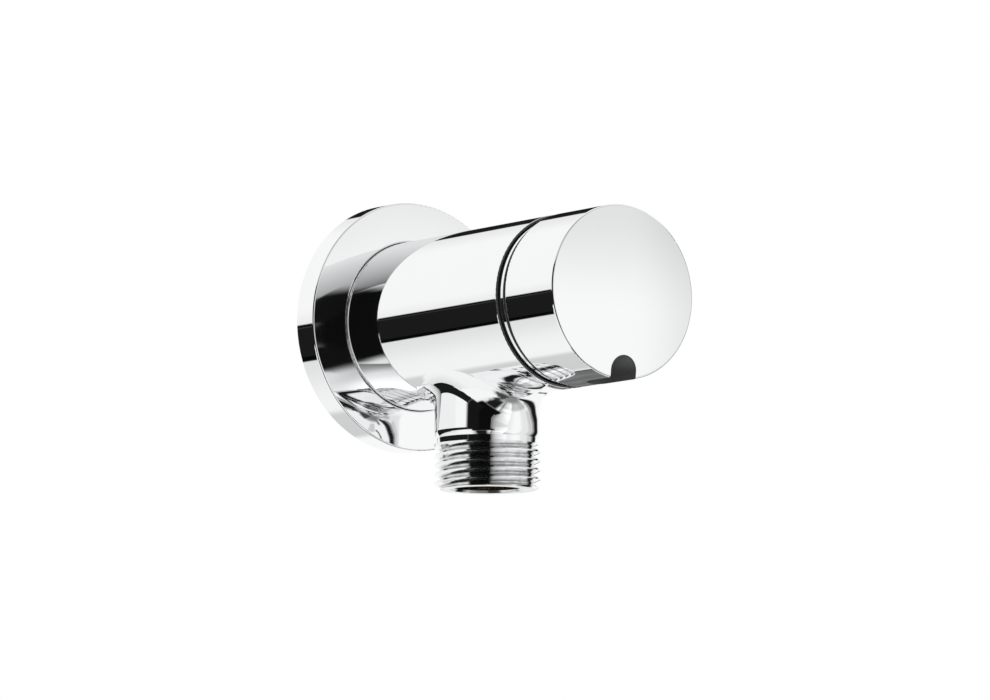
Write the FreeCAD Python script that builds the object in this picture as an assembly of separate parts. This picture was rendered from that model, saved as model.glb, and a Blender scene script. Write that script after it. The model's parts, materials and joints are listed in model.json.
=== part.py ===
import FreeCAD, Part
import math
import os

# A self-closing urinal flush valve, in millimetres.
# +Z is up, +Y points into the wall and the wall's face is the plane y = 0.
# The origin is where the valve's own axis meets the wall.
# Every d below is a distance in front of the wall, so y = -d, and r is a radius about the valve's axis.

V = FreeCAD.Vector

# Wall rosette
rosette_diameter = 50.0
rosette_rim = 5.1
rosette_edge = 0.4
rosette_dome = 0.25
dome_bulge = 0.03
rosette_lip = 0.4
rosette_shell = 1.4
gasket_thickness = 2.5
gasket_play = 1.45
rosette_seal = 1.5
rosette_seal_width = 2.0
rosette_play = 0.05

# Valve body
body_diameter = 34.0
body_front = 56.3
body_rear = 2.0
body_edge = 0.35

# Outlet and inlet tail, both with a G 1/2 thread
outlet_distance = 30.0
outlet_length = 34.8
outlet_neck_diameter = 20.8
outlet_bore_diameter = 13.5
outlet_fillet = 6.3
neck_round_radius = 2.4
neck_round_length = 1.35
neck_taper_length = 1.15
neck_taper = 0.15
outlet_thread_length = 8.9
tail_length = 14.0
inlet_bore_diameter = 13.0
thread_diameter = 20.955
thread_pitch = 1.814
thread_depth = 1.162
thread_angle = 55.0
thread_root_flat = 0.3
thread_chamfer = 0.75
thread_run_out = 0.34
tail_relief = 1.7

# Push button
groove_width = 2.7
button_length = 15.5
button_edge = 0.5
button_dome = 0.9
button_travel = 2.3
skirt_step = 1.0
bead_step = 0.5
bead_gap = 1.15
bead_width = 0.7
mouth_wall = 0.4
skirt_wall = 1.8
skirt_end_gap = 0.8
notch_width = 6.0
notch_height = 4.7
notch_length = 9.6
notch_floor = 1.2

# Chambers inside the body
chamber_wall = 3.2
chamber_rear_margin = 0.3
chamber_front_margin = 1.2
inlet_chamber_length = 10.0
front_land_length = 3.0
rear_land_length = 3.8
rear_land_step = 2.0
nut_wall = 2.4
nut_ring_width = 2.8
nut_length = 4.0
disc_room = 1.0
filter_recess_diameter = 16.4

# Cartridge housing
flange_step = 1.65
flange_thickness = 1.8
slip_washer_thickness = 0.5
seat_bore_diameter = 10.4
seat_lip_width = 0.8
seat_lip_height = 0.6
seat_web = 2.2
port_chamber_step = 1.4
port_length = 4.6
port_width = 7.0
port_count = 4
port_setback = 0.8
port_bridge = 1.0
guide_step = 0.8
nose_wall = 2.0
seal_section = 1.3
seal_width = 1.9

# Piston, its rod and the valve disc
piston_length = 6.0
piston_clearance = 0.08
piston_rear_gap = 0.5
piston_hub_step = 2.8
ring_depth = 0.9
ring_width = 1.8
ring_opening = 0.8
lip_length = 2.2
rod_diameter = 4.0
rod_collar = 1.2
rod_nut_flats = 6.0
rod_nut_thickness = 2.0
rod_nut_stand_out = 0.4
disc_overlap = 1.0
disc_thickness = 1.4
disc_wall = 0.5
disc_rim = 1.0
washer_thickness = 1.6
metering_wall = 0.42
metering_head = 2.0
metering_shank = 1.2
metering_bleed = 0.7
metering_head_depth = 1.2
metering_shank_depth = 3.6
metering_slot_width = 0.35
metering_slot_depth = 0.4

# Push stem, its guide and what locks it
stem_diameter = 6.0
guide_length = 4.0
stop_ring_thickness = 0.8
stop_ring_diameter = 9.2
stop_ring_setback = 1.0
stop_ring_opening = 3.6
stop_groove_depth = 0.6
circlip_thickness = 0.8
circlip_bite = 0.4
adapter_diameter = 12.0
adapter_length = 7.0
adapter_flange_diameter = 16.0
adapter_flange = 1.5
adapter_end_wall = 1.6
grub_diameter = 4.0
grub_socket_flats = 2.0
grub_socket_depth = 2.0

# Springs
button_spring_room = 0.5
button_spring_wire = 1.2
button_spring_turns = 5.5
spring_bends_per_turn = 16
piston_spring_overlap = 0.3
piston_spring_wire = 0.9
piston_spring_turns = 5.5

# Inlet filter and flow restrictor
restrictor_thickness = 2.2
restrictor_hole = 2.4
restrictor_hole_count = 8
restrictor_hole_circle = 9.6
restrictor_cone = 5.2
restrictor_cone_height = 1.0
restrictor_seal = 0.95
restrictor_seal_width = 1.3
strainer_rim = 1.2
strainer_sheet = 0.5
strainer_hole = 1.3
strainer_hole_pitch = 2.1
strainer_rim_width = 1.1
strainer_collar = 1.1
strainer_collar_width = 0.66
snap_ring_thickness = 0.8
snap_ring_inset = 1.0
snap_ring_bite = 0.3
snap_ring_width = 1.3
snap_ring_opening = 3.0

# Clearances, and the small steps that every turned piece repeats
fit_gap = 0.05
slim_gap = 0.03
sliding_gap = 0.08
end_gap = 0.15
fine_edge = 0.3
shoulder = 0.9
key_over = 1.0

# Radii
rosette_r = rosette_diameter / 2
body_r = body_diameter / 2
neck_r = outlet_neck_diameter / 2
outlet_bore_r = outlet_bore_diameter / 2
thread_r = thread_diameter / 2
thread_root_r = thread_r - thread_depth
relief_r = thread_root_r - fit_gap
neck_foot_r = neck_r - neck_round_radius + math.sqrt(neck_round_radius ** 2 - neck_round_length ** 2)
skirt_r = body_r - skirt_step
mouth_r = skirt_r + sliding_gap
bead_r = body_r - bead_step
mouth_recess_r = body_r - mouth_wall
chamber_r = body_r - chamber_wall
nut_r = body_r - nut_wall
housing_r = nut_r - flange_step
land_r = housing_r + fit_gap
rear_land_r = land_r - rear_land_step
spigot_r = rear_land_r - fit_gap
nose_r = nut_r - nut_ring_width
guide_r = nose_r - nose_wall
cylinder_r = guide_r - guide_step
piston_r = cylinder_r - piston_clearance
metering_offset = piston_r - piston_hub_step - metering_wall - metering_head / 2
port_chamber_r = cylinder_r - port_chamber_step
seat_bore_r = seat_bore_diameter / 2
disc_r = seat_bore_r + seat_lip_width + disc_overlap
inlet_chamber_r = disc_r + disc_room
rod_r = rod_diameter / 2
stem_r = stem_diameter / 2
notch_r = notch_width / 2
rosette_bore_r = body_r + rosette_play
recess_r = filter_recess_diameter / 2

# Stations along the axis, from the wall towards the button
tail_end = -tail_length
tail_thread_front = body_rear - tail_relief
outlet_thread_top = outlet_length - outlet_thread_length
dome_height = rosette_rim + rosette_edge + rosette_dome
snap_ring_rear = tail_end + snap_ring_inset
strainer_rear = snap_ring_rear + snap_ring_thickness + fit_gap
restrictor_rear = strainer_rear + strainer_rim + strainer_collar + fit_gap
recess_floor = restrictor_rear + restrictor_thickness
chamber_rear = outlet_distance - outlet_bore_r - chamber_rear_margin
chamber_front = outlet_distance + outlet_bore_r + chamber_front_margin
rear_land_end = chamber_rear - rear_land_length
inlet_chamber_rear = rear_land_end - inlet_chamber_length
cartridge_seat = chamber_front + front_land_length
housing_rear = rear_land_end + end_gap
seat_lip = housing_rear - seat_lip_height
web_front = housing_rear + seat_web
port_rear = chamber_rear + port_setback
port_front = port_rear + port_length
cylinder_rear = port_front + port_bridge
piston_rear = cylinder_rear + button_travel + piston_rear_gap
piston_front = piston_rear + piston_length
rod_front = piston_front + rod_nut_thickness + rod_nut_stand_out
stem_rear = rod_front + fit_gap
stop_ring_rear = stem_rear + stop_ring_setback
stop_ring_front = stop_ring_rear + stop_ring_thickness
guide_rear = stop_ring_front + end_gap
guide_front = guide_rear + guide_length
circlip_front = guide_front + circlip_thickness
housing_front = circlip_front + shoulder
flange_front = cartridge_seat + flange_thickness
nut_rear = flange_front + slip_washer_thickness
nut_front = nut_rear + nut_length
button_rear = body_front + groove_width
button_front = button_rear + button_length
skirt_rear = nut_front + button_travel + skirt_end_gap
bead_front = button_rear - bead_gap
bead_rear = bead_front - bead_width
mouth_recess = bead_rear - button_travel - end_gap
notch_top = body_r - notch_height
notch_centre_z = -(notch_top + notch_r)
notch_end_centre = button_front - notch_length + notch_r
cap_ceiling = button_front - notch_length - notch_floor
adapter_front = cap_ceiling + adapter_length
stem_front = adapter_front - adapter_end_wall


def at(d, r):
    return V(r, -d, 0)


def solid_of(shape):
    """The same solid, facing outwards."""
    solid = shape if shape.ShapeType == "Solid" else shape.Solids[0]
    if solid.Volume < 0:
        solid.reverse()
    return solid


def turned(start, *steps):
    """A solid of revolution about the valve's axis, from (d, r) points.

    A step that is a pair of points is an arc: its middle, then its end.
    """
    edges = []
    here = start
    for step in steps + (start,):
        if isinstance(step[0], tuple):
            middle, end = step
            edges.append(Part.Arc(at(*here), at(*middle), at(*end)).toShape())
        else:
            end = step
            if math.dist(here, end) > 1e-6:
                edges.append(Part.LineSegment(at(*here), at(*end)).toShape())
        here = end
    face = Part.Face(Part.Wire(edges))
    return solid_of(face.revolve(V(0, 0, 0), V(0, 1, 0), 360))


def ring(first, last, inner, outer):
    """A plain ring about the valve's axis between two distances."""
    return turned((first, inner), (first, outer), (last, outer), (last, inner))


def disc(first, last, radius):
    """A plain cylinder about the valve's axis between two distances."""
    return turned((first, 0), (first, radius), (last, radius), (last, 0))


def o_ring(middle, inner, outer, width):
    """A seal squeezed between two radii: flat where it presses, round at its sides."""
    bulge = (outer - inner) / 2
    low = middle - width / 2 + bulge
    high = middle + width / 2 - bulge
    centre = (inner + outer) / 2
    return turned((low, inner), ((low - bulge, centre), (low, outer)),
                  (high, outer), ((high + bulge, centre), (high, inner)))


def round_corner(before, corner, after, radius):
    """The middle and end of an arc that rounds a square corner, and the point where it starts."""
    def towards(target):
        length = math.dist(corner, target)
        return tuple(c + (t - c) * radius / length for c, t in zip(corner, target))
    first, last = towards(before), towards(after)
    centre = tuple(f + g - c for f, g, c in zip(first, last, corner))
    reach = math.dist(centre, corner)
    middle = tuple(m + (c - m) * radius / reach for m, c in zip(centre, corner))
    return first, (middle, last)


def hang(shape):
    """Turn a piece from the valve's axis to the outlet's axis; d becomes depth below the valve's axis."""
    shape.rotate(V(0, 0, 0), V(1, 0, 0), 90)
    shape.translate(V(0, -outlet_distance, 0))
    return shape


def along_axis(shape, d, x=0.0):
    """Stand a piece built along +Z on the valve's axis, pointing away from the wall, from distance d."""
    shape.rotate(V(0, 0, 0), V(1, 0, 0), 90)
    shape.translate(V(x, -d, 0))
    return shape


def thread_groove(first, last):
    """The helical groove of the pipe thread about the valve's axis, from one distance to another."""
    slope = math.tan(math.radians(thread_angle / 2))
    over = 0.2
    root_half = thread_root_flat / 2
    mouth_half = root_half + (thread_depth + over) * slope
    corners = [V(thread_root_r, 0, -root_half), V(thread_r + over, 0, -mouth_half),
               V(thread_r + over, 0, mouth_half), V(thread_root_r, 0, root_half)]
    outline = [Part.LineSegment(a, b).toShape() for a, b in zip(corners, corners[1:] + corners[:1])]
    path = Part.makeLongHelix(thread_pitch, last - first, thread_root_r)
    pipe = Part.Wire(path.Edges).makePipeShell([Part.Wire(outline)], True, True)
    return along_axis(solid_of(pipe), first)


def coil_spring(first, last, radius, wire, turns):
    """An open coil spring that just fits between two distances, bent in short straight lengths."""
    rise = last - first - wire - 2 * end_gap
    count = round(turns * spring_bends_per_turn)
    points = []
    for i in range(count + 1):
        turn = 2 * math.pi * turns * i / count
        points.append(V(radius * math.cos(turn), radius * math.sin(turn), rise * i / count))
    circle = Part.makeCircle(wire / 2, points[0], points[1] - points[0])
    pipe = Part.makePolygon(points).makePipeShell([Part.Wire([circle])], True, False, 1)
    return along_axis(solid_of(pipe), first + wire / 2 + end_gap)


def hexagon(flats, length):
    """A hexagonal bar along +Z from z = 0."""
    reach = flats / 2 / math.cos(math.pi / 6)
    corners = [V(reach * math.cos(i * math.pi / 3), reach * math.sin(i * math.pi / 3), 0) for i in range(6)]
    return Part.Face(Part.makePolygon(corners + corners[:1])).extrude(V(0, 0, length))


def body_outline():
    """The turned outside of the barrel and of the tail that goes into the wall."""
    rear_round, rear_arc = round_corner((body_rear, 0), (body_rear, body_r), (body_front, body_r), body_edge)
    front_round, front_arc = round_corner((body_rear, body_r), (body_front, body_r), (body_front, 0),
                                          body_edge)
    return turned(
        (tail_end, 0), (tail_end, thread_r - thread_chamfer), (tail_end + thread_chamfer, thread_r),
        (tail_thread_front, thread_r), (tail_thread_front, relief_r), (body_rear, relief_r),
        rear_round, rear_arc, front_round, front_arc, (body_front, 0))


def outlet_neck():
    """The outlet's outside, from the valve's axis down; its neck rounds in a little above the thread."""
    taper_top = outlet_thread_top - neck_taper_length
    round_top = taper_top - neck_round_length
    half = neck_round_length / 2
    round_middle = neck_r - neck_round_radius + math.sqrt(neck_round_radius ** 2 - half ** 2)
    return hang(turned(
        (0, 0), (0, neck_r), (round_top, neck_r),
        ((round_top + half, round_middle), (taper_top, neck_foot_r)),
        (outlet_thread_top, neck_foot_r - neck_taper), (outlet_thread_top, thread_r),
        (outlet_length - thread_chamfer, thread_r),
        (outlet_length, thread_r - thread_chamfer), (outlet_length, 0)))


def crotch_edges(shape):
    """The edges where the outlet's neck meets the barrel."""
    found = []
    reach = neck_r + outlet_fillet
    for edge in shape.Edges:
        points = edge.discretize(7)
        on_barrel = all(abs(math.hypot(p.x, p.z) - body_r) < 0.01 for p in points)
        near_neck = all(abs(p.y + outlet_distance) < reach for p in points)
        below = all(p.z < -1 for p in points)
        if on_barrel and near_neck and below:
            found.append(edge)
    return found


def body_cavity():
    """Every bore on the valve's axis, from the wall end to the button's mouth."""
    ring_groove_r = recess_r + snap_ring_bite + fit_gap
    groove_rear = snap_ring_rear - fit_gap
    groove_front = snap_ring_rear + snap_ring_thickness + fit_gap
    return turned(
        (tail_end - 1, 0), (tail_end - 1, recess_r), (groove_rear, recess_r),
        (groove_rear, ring_groove_r), (groove_front, ring_groove_r),
        (groove_front, recess_r), (recess_floor, recess_r),
        (recess_floor, inlet_bore_diameter / 2), (inlet_chamber_rear, inlet_bore_diameter / 2),
        (inlet_chamber_rear, inlet_chamber_r), (rear_land_end, inlet_chamber_r),
        (rear_land_end, rear_land_r), (chamber_rear, rear_land_r),
        (chamber_rear, chamber_r), (chamber_front, chamber_r),
        (chamber_front, land_r), (cartridge_seat, land_r),
        (cartridge_seat, nut_r), (nut_front, nut_r),
        (nut_front, mouth_r), (mouth_recess, mouth_r), (mouth_recess, mouth_recess_r),
        (body_front + 1, mouth_recess_r), (body_front + 1, 0))


def valve_body():
    outside = body_outline().fuse(outlet_neck())
    outside = solid_of(outside.removeSplitter())
    outside = outside.makeFillet(outlet_fillet, crotch_edges(outside))
    bevel = 0.5
    outlet_bore = hang(turned((0, 0), (0, outlet_bore_r), (outlet_length - bevel, outlet_bore_r),
                              (outlet_length, outlet_bore_r + bevel),
                              (outlet_length + 1, outlet_bore_r + bevel), (outlet_length + 1, 0)))
    shape = outside.cut(body_cavity()).cut(outlet_bore)
    tail_groove = thread_groove(tail_end - thread_pitch, tail_thread_front + tail_relief / 2)
    groove_top = outlet_thread_top + thread_run_out
    outlet_groove = hang(thread_groove(0, outlet_length + thread_pitch - groove_top))
    outlet_groove.translate(V(0, 0, -groove_top))
    return solid_of(shape.cut(tail_groove).cut(outlet_groove))


def rosette_seal_outer():
    return body_r + fit_gap + rosette_seal


def rosette_collar_outer():
    return rosette_seal_outer() + fit_gap + shoulder


def rosette_seal_middle():
    return dome_height - rosette_lip - shoulder - rosette_seal_width / 2


def wall_rosette():
    """A turned rosette: a plain rim, a very low dome and a hole for the barrel, with a collar for its seal."""
    ledge = 0.7
    inner_rim_r = rosette_r - rosette_shell
    rim_front = rosette_rim + rosette_edge
    rim_round, rim_arc = round_corner((0, rosette_r), (rim_front, rosette_r), (rim_front, 0), rosette_edge)
    lip_round, lip_arc = round_corner((dome_height, rosette_r), (dome_height, rosette_bore_r),
                                      (0, rosette_bore_r), rosette_lip)
    dome_middle = ((rim_front + dome_height) / 2 + dome_bulge, (rim_arc[1][1] + lip_round[1]) / 2)
    groove_r = rosette_seal_outer() + fit_gap
    collar_r = rosette_collar_outer()
    groove_front = rosette_seal_middle() + rosette_seal_width / 2 + fit_gap
    groove_rear = rosette_seal_middle() - rosette_seal_width / 2 - fit_gap
    collar_rear = groove_rear - shoulder
    return turned(
        (0, inner_rim_r), (0, rosette_r), rim_round, rim_arc, (dome_middle, lip_round), lip_arc,
        (groove_front, rosette_bore_r), (groove_front, groove_r), (groove_rear, groove_r),
        (groove_rear, rosette_bore_r), (collar_rear, rosette_bore_r), (collar_rear, collar_r),
        (dome_height - rosette_shell, collar_r), (rim_front - rosette_shell, inner_rim_r - ledge),
        (gasket_thickness, inner_rim_r - ledge), (gasket_thickness, inner_rim_r))


def rosette_oring():
    return o_ring(rosette_seal_middle(), body_r + fit_gap, rosette_seal_outer(), rosette_seal_width)


def wall_gasket():
    outer = rosette_r - rosette_shell - fit_gap
    return ring(0, gasket_thickness - fit_gap, rosette_collar_outer() + gasket_play, outer)


def seal_groove(middle, inner, outer):
    """The groove that an O-ring lies in, as a ring to be cut away."""
    half = seal_width / 2 + end_gap
    return ring(middle - half, middle + half, inner, outer)


def front_seal_middle():
    return (chamber_front + cartridge_seat) / 2


def rear_seal_middle():
    return (housing_rear + chamber_rear) / 2


def guide_seal_middle():
    return (guide_rear + guide_front) / 2


def cartridge_housing():
    """The brass sleeve that holds the seat, the ports and the timing cylinder."""
    flange_r = nut_r - fine_edge
    circlip_rear = guide_front
    clip_groove_r = guide_r + circlip_bite + fit_gap
    step = chamber_rear + fine_edge
    lip_foot_r = seat_bore_r + seat_lip_width + seat_lip_height
    shape = turned(
        (housing_rear, lip_foot_r), (housing_rear, spigot_r),
        (step, spigot_r), (step, housing_r), (cartridge_seat, housing_r),
        (cartridge_seat, flange_r), (flange_front, flange_r), (flange_front, nose_r),
        (housing_front, nose_r), (housing_front, guide_r), (circlip_front + fit_gap, guide_r),
        (circlip_front + fit_gap, clip_groove_r), (circlip_rear, clip_groove_r), (circlip_rear, guide_r),
        (guide_rear, guide_r), (guide_rear, cylinder_r), (cylinder_rear, cylinder_r),
        (cylinder_rear, port_chamber_r), (web_front, port_chamber_r), (web_front, seat_bore_r),
        (seat_lip, seat_bore_r), (seat_lip, seat_bore_r + seat_lip_width))
    shape = shape.cut(seal_groove(front_seal_middle(), housing_r - seal_section - fit_gap, housing_r + 1))
    shape = shape.cut(seal_groove(rear_seal_middle(), spigot_r - seal_section - fit_gap, spigot_r + 1))
    for i in range(port_count):
        port = Part.makeBox(housing_r + 1, port_length, port_width, V(0, -port_front, -port_width / 2))
        port.rotate(V(0, 0, 0), V(0, 1, 0), 360 / port_count * (i + 0.5))
        shape = shape.cut(port)
    return solid_of(shape)


def housing_oring_front():
    return o_ring(front_seal_middle(), housing_r - seal_section, housing_r, seal_width)


def housing_oring_rear():
    return o_ring(rear_seal_middle(), spigot_r - seal_section, spigot_r, seal_width)


def slip_washer():
    return ring(flange_front, nut_rear, nose_r + fit_gap, nut_r - fine_edge)


def cartridge_nut():
    """The ring nut that holds the cartridge, with four slots for a pin spanner."""
    slot_width = 2.0
    slot_depth = 1.6
    shape = ring(nut_rear, nut_front, nose_r + fit_gap, nut_r - fit_gap)
    for i in range(4):
        slot = Part.makeBox(nut_r, slot_depth, slot_width, V(nose_r - 1, -nut_front, -slot_width / 2))
        slot.rotate(V(0, 0, 0), V(0, 1, 0), 90 * i)
        shape = shape.cut(slot)
    return solid_of(shape)


def stem_guide():
    """The plug that closes the timing cylinder and guides the push stem."""
    outer = guide_r - fit_gap
    middle = guide_seal_middle()
    shape = ring(guide_rear, guide_front, stem_r + fit_gap, outer)
    shape = shape.cut(seal_groove(middle, outer - seal_section - fit_gap, outer + 1))
    return solid_of(shape.cut(seal_groove(middle, stem_r, stem_r + fit_gap + seal_section + fit_gap)))


def guide_oring():
    outer = guide_r - fit_gap
    return o_ring(guide_seal_middle(), outer - seal_section, outer, seal_width)


def stem_oring():
    return o_ring(guide_seal_middle(), stem_r + fit_gap, stem_r + fit_gap + seal_section, seal_width)


def open_ring(first, last, inner, outer, gap):
    """A flat ring with a gap of the given width in it, upwards."""
    cut = Part.makeBox(gap, last - first + 2, outer * 2, V(-gap / 2, -last - 1, 0))
    return solid_of(ring(first, last, inner, outer).cut(cut))


def guide_circlip():
    """An internal circlip with an eye at each end for the pliers."""
    outer = guide_r + circlip_bite
    inner = outer - 1.5
    gap = 4.0
    eye_r = 1.3
    pin_hole_r = 0.585
    eye_x = gap / 2 + 0.65
    eye_z = inner - 0.39
    shape = open_ring(guide_front, circlip_front, inner, outer, gap)
    for side in (-1, 1):
        eye = disc(guide_front, circlip_front, eye_r)
        pin_hole = disc(guide_front - 1, circlip_front + 1, pin_hole_r)
        place = V(side * eye_x, 0, eye_z)
        eye.translate(place)
        pin_hole.translate(place)
        shape = shape.fuse(eye).cut(pin_hole)
    return solid_of(shape.removeSplitter())


def piston():
    """The timing piston, with a groove for its guide ring, a seat for its lip seal and a bleed hole."""
    outer = piston_r
    hub_r = piston_r - piston_hub_step
    groove_rear = piston_rear + shoulder
    groove_front = groove_rear + ring_width + fit_gap
    lip_seat = piston_front - lip_length
    shape = turned(
        (piston_rear, rod_r + fit_gap), (piston_rear, outer), (groove_rear, outer),
        (groove_rear, outer - ring_depth), (groove_front, outer - ring_depth), (groove_front, outer),
        (lip_seat, outer), (lip_seat, hub_r), (piston_front, hub_r), (piston_front, rod_r + fit_gap))
    for first, radius in ((piston_front - metering_head_depth, metering_head / 2 + fit_gap),
                          (piston_front - metering_shank_depth, metering_shank / 2 + fit_gap),
                          (piston_rear - 1, metering_bleed / 2)):
        hole = disc(first, piston_front + 1, radius)
        hole.translate(V(metering_offset, 0, 0))
        shape = shape.cut(hole)
    return solid_of(shape)


def piston_guide_ring():
    """A split ring that keeps the piston off the cylinder's wall."""
    rear = piston_rear + shoulder + fit_gap / 2
    inner = piston_r - ring_depth + slim_gap
    return open_ring(rear, rear + ring_width, inner, cylinder_r - slim_gap, ring_opening)


def piston_lip_seal():
    """A cup seal: a flat heel round the hub and a thin lip that leans out towards the button."""
    heel = piston_front - lip_length
    hub_r = piston_r - piston_hub_step + fit_gap
    heel_thickness = 0.8
    lip = 0.6
    lean = 0.25
    outer = piston_r
    return turned((heel, hub_r), (heel, outer - lean), (piston_front, outer), (piston_front, outer - lip),
                  (heel + heel_thickness, outer - lip - 2 * lean), (heel + heel_thickness, hub_r))


def metering_screw():
    """A slotted needle screw that sets how fast the piston comes back."""
    head_r = metering_head / 2
    shank_r = metering_shank / 2
    head_rear = piston_front - metering_head_depth + fit_gap
    head_front = piston_front - 2 * fit_gap
    tip = piston_front - metering_shank_depth + 2 * fit_gap
    shape = turned((tip, 0), (tip + shank_r, shank_r), (head_rear, shank_r),
                   (head_rear, head_r), (head_front, head_r), (head_front, 0))
    slot = Part.makeBox(metering_head + 1, metering_slot_depth, metering_slot_width,
                        V(-head_r - 0.5, -head_front, -metering_slot_width / 2))
    shape = shape.cut(slot)
    shape.translate(V(metering_offset, 0, 0))
    return solid_of(shape)


def disc_rear():
    return seat_lip - fit_gap - washer_thickness - disc_thickness


def valve_rod():
    """The rod that joins the piston to the valve disc, with a collar for each."""
    collar_r = rod_r + rod_collar
    washer_front = seat_lip - fit_gap
    rod_rear = disc_rear() - rod_nut_thickness - rod_nut_stand_out
    return turned(
        (rod_rear, 0), (rod_rear, rod_r - fine_edge), (rod_rear + fine_edge, rod_r),
        (washer_front, rod_r), (washer_front, collar_r),
        (washer_front + rod_collar, collar_r), (washer_front + rod_collar, rod_r),
        (piston_rear - rod_collar, rod_r), (piston_rear - rod_collar, collar_r), (piston_rear, collar_r),
        (piston_rear, rod_r), (rod_front - fine_edge, rod_r), (rod_front, rod_r - fine_edge),
        (rod_front, 0))


def rod_nut(first):
    """A hexagon nut on the valve rod, from distance first."""
    nut = along_axis(hexagon(rod_nut_flats, rod_nut_thickness), first)
    return solid_of(nut.cut(disc(first - 1, first + rod_nut_thickness + 1, rod_r + fit_gap)))


def valve_disc():
    """The brass cup that backs the seat washer."""
    rear = disc_rear()
    floor = rear + disc_thickness
    rim = floor + disc_rim
    outer = disc_r
    return turned((rear, rod_r + fit_gap), (rear, outer - fine_edge), (rear + fine_edge, outer),
                  (rim, outer), (rim, outer - disc_wall), (floor, outer - disc_wall),
                  (floor, rod_r + fit_gap))


def seat_washer():
    front = seat_lip - fit_gap
    return ring(front - washer_thickness, front, rod_r + fit_gap, disc_r - disc_wall - fit_gap)


def push_stem():
    """The rod that carries the button's push to the piston, with a groove for its stop ring."""
    groove_r = stem_r - stop_groove_depth
    groove_front = stop_ring_front + fit_gap
    return turned(
        (stem_rear, 0), (stem_rear, stem_r - fine_edge), (stem_rear + fine_edge, stem_r),
        (stop_ring_rear, stem_r), (stop_ring_rear, groove_r), (groove_front, groove_r),
        (groove_front, stem_r), (stem_front - fine_edge, stem_r), (stem_front, stem_r - fine_edge),
        (stem_front, 0))


def stem_stop_ring():
    """The split ring on the stem that stops it when the button comes back."""
    inner = stem_r - stop_groove_depth + slim_gap
    return open_ring(stop_ring_rear + slim_gap, stop_ring_front, inner, stop_ring_diameter / 2,
                     stop_ring_opening)


def notch():
    """The small slot under the button, open to its front, that lets a key reach the grub screw."""
    low = body_r + 2
    reach = button_front + button_dome + key_over - notch_end_centre
    arch = disc(notch_end_centre, notch_end_centre + reach, notch_r)
    arch.translate(V(0, 0, notch_centre_z))
    end = Part.makeSphere(notch_r, V(0, -notch_end_centre, notch_centre_z))
    sides = Part.makeBox(notch_width, reach, low + notch_centre_z,
                         V(-notch_r, -notch_end_centre - reach, -low))
    round_end = Part.makeCylinder(notch_r, low + notch_centre_z, V(0, -notch_end_centre, -low))
    return arch.fuse(end).fuse(sides).fuse(round_end)


def push_button_cap():
    """The button's head with its domed face, a bead behind it and the skirt that slides in the mouth."""
    rear_round, rear_arc = round_corner((button_rear, 0), (button_rear, body_r), (button_front, body_r),
                                        button_edge)
    front_round, front_arc = round_corner((button_rear, body_r), (button_front, body_r), (button_front, 0),
                                          button_edge)
    face_r = front_arc[1][1]
    dome_radius = (face_r ** 2 + button_dome ** 2) / (2 * button_dome)
    half = face_r / 2
    dome_middle = (button_front + button_dome - dome_radius + math.sqrt(dome_radius ** 2 - half ** 2), half)
    cavity_r = skirt_r - skirt_wall
    bore_r = adapter_diameter / 2 + fit_gap
    shape = turned(
        (skirt_rear, cavity_r), (skirt_rear, skirt_r - fine_edge), (skirt_rear + fine_edge, skirt_r),
        (bead_rear, skirt_r), (bead_rear, bead_r), (bead_front, bead_r), (bead_front, skirt_r),
        (button_rear, skirt_r), rear_round, rear_arc, front_round, front_arc,
        (dome_middle, (button_front + button_dome, 0)), (adapter_front + fit_gap, 0),
        (adapter_front + fit_gap, bore_r), (cap_ceiling, bore_r), (cap_ceiling, cavity_r))
    screw_hole = Part.makeCylinder(grub_diameter / 2 + fit_gap, body_r, V(0, -notch_end_centre, -body_r))
    return solid_of(shape.cut(notch()).cut(screw_hole))


def stem_adapter():
    """The brass bush that the stem screws into and the grub screw bites on."""
    spigot_r = adapter_diameter / 2
    flange_r = adapter_flange_diameter / 2
    flange_rear = cap_ceiling - adapter_flange
    return turned(
        (flange_rear, stem_r + fit_gap), (flange_rear, flange_r), (cap_ceiling, flange_r),
        (cap_ceiling, spigot_r), (adapter_front, spigot_r), (adapter_front, 0),
        (stem_front + fit_gap, 0), (stem_front + fit_gap, stem_r + fit_gap))


def button_grub_screw():
    """A hexagon socket grub screw, its socket facing down into the notch."""
    top = -(adapter_diameter / 2 + fit_gap)
    bottom = -(notch_top - fine_edge)
    screw = Part.makeCylinder(grub_diameter / 2, top - bottom, V(0, -notch_end_centre, bottom))
    socket = hexagon(grub_socket_flats, grub_socket_depth)
    socket.translate(V(0, -notch_end_centre, bottom))
    return solid_of(screw.cut(socket))


def button_spring():
    radius = nose_r + button_spring_room + button_spring_wire / 2
    return coil_spring(nut_front, cap_ceiling, radius, button_spring_wire, button_spring_turns)


def piston_spring():
    radius = seat_bore_r + piston_spring_overlap
    return coil_spring(web_front, piston_rear, radius, piston_spring_wire, piston_spring_turns)


def flow_restrictor():
    """The plastic disc that sets the flow, with a ring of holes and a groove for its seal."""
    outer = recess_r - fit_gap
    rear = restrictor_rear
    middle = restrictor_seal_middle()
    half = restrictor_seal_width / 2 + fit_gap
    shape = turned((rear - restrictor_cone_height, 0), (rear, restrictor_cone / 2), (rear, outer),
                   (recess_floor, outer), (recess_floor, 0))
    shape = shape.cut(ring(middle - half, middle + half, outer - restrictor_seal - fit_gap, outer + 1))
    circle_r = restrictor_hole_circle / 2
    for i in range(restrictor_hole_count):
        turn = 2 * math.pi * i / restrictor_hole_count
        hole = disc(rear - 2, recess_floor + 1, restrictor_hole / 2)
        hole.translate(V(circle_r * math.cos(turn), 0, circle_r * math.sin(turn)))
        shape = shape.cut(hole)
    return solid_of(shape)


def restrictor_seal_middle():
    return (restrictor_rear + recess_floor) / 2


def restrictor_oring():
    outer = recess_r - fit_gap
    return o_ring(restrictor_seal_middle(), outer - restrictor_seal, outer, restrictor_seal_width)


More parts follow.
